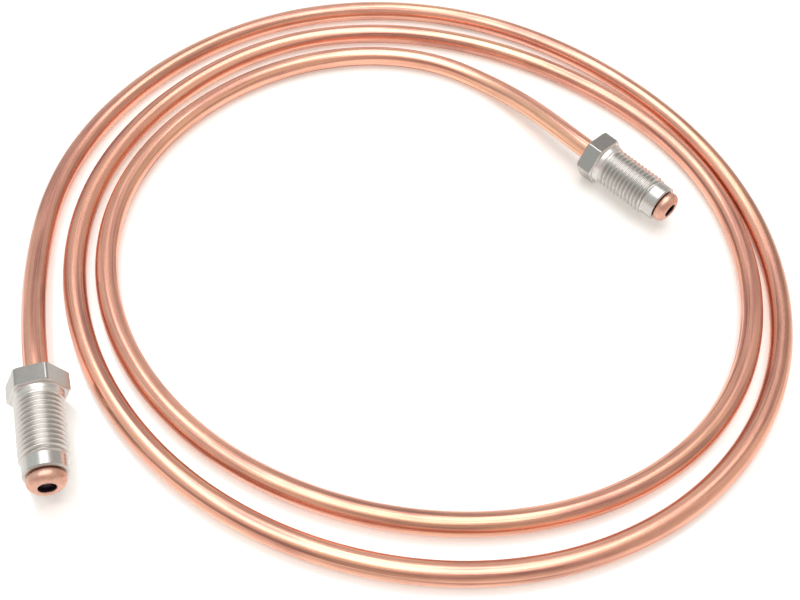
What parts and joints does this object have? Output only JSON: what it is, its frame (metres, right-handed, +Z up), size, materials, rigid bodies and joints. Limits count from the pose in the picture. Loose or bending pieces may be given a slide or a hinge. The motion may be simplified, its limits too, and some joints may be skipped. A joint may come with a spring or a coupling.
{
  "type": "brake line",
  "caption": "Copper hydraulic brake line wound into a flat coil, with a bubble flare and a loose steel male tube nut at each end.",
  "frame": {"origin": "centre of the coil's footprint, on the ground that it lies on", "axes": "+Z up from the ground, +Y away from the viewer of the picture, +X to its right"},
  "size_m": [0.1692, 0.1684, 0.0119],
  "materials": {
    "copper": "bright drawn copper, lightly tarnished",
    "plated_steel": "zinc plated, satin"
  },
  "bodies": {
    "pipe": {"copper_pipe": "copper"},
    "nut_a": {"tube_nut_a": "plated_steel"},
    "nut_b": {"tube_nut_b": "plated_steel"}
  },
  "joints": [
    {"name": "nut_a_turn", "type": "hinge", "parent": "pipe", "child": "nut_a", "pos_m": [-0.06904, -0.05496, 0.00627], "axis": [0.3746, -0.9272, 0], "continuous": true},
    {"name": "nut_b_turn", "type": "hinge", "parent": "pipe", "child": "nut_b", "pos_m": [0.03935, 0.03029, 0.00627], "axis": [0.7524, -0.6587, 0], "continuous": true}
  ]
}
